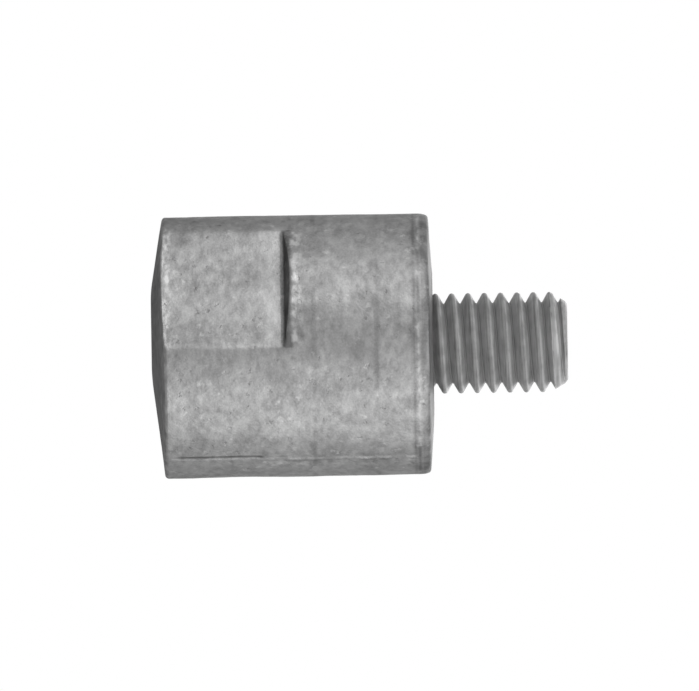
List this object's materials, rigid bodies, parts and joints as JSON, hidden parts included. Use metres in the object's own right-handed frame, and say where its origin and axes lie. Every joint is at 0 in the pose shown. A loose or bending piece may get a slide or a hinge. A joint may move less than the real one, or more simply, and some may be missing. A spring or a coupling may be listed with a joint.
{
  "type": "sacrificial anode",
  "caption": "Round cast zinc engine anode with two spanner flats and a threaded steel stud cast into one end.",
  "frame": {"origin": "middle of the flat foot of the body's free end, on which the anode stands", "axes": "+Z along the stud, from the free end to the stud's tip; the spanner flats face -Y and +Y"},
  "size_m": [0.0202, 0.02, 0.0319],
  "materials": {
    "cast_zinc": "satin",
    "stud_steel": "satin"
  },
  "bodies": {
    "root": {"zinc_body": "cast_zinc", "threaded_stud": "stud_steel"}
  },
  "joints": []
}
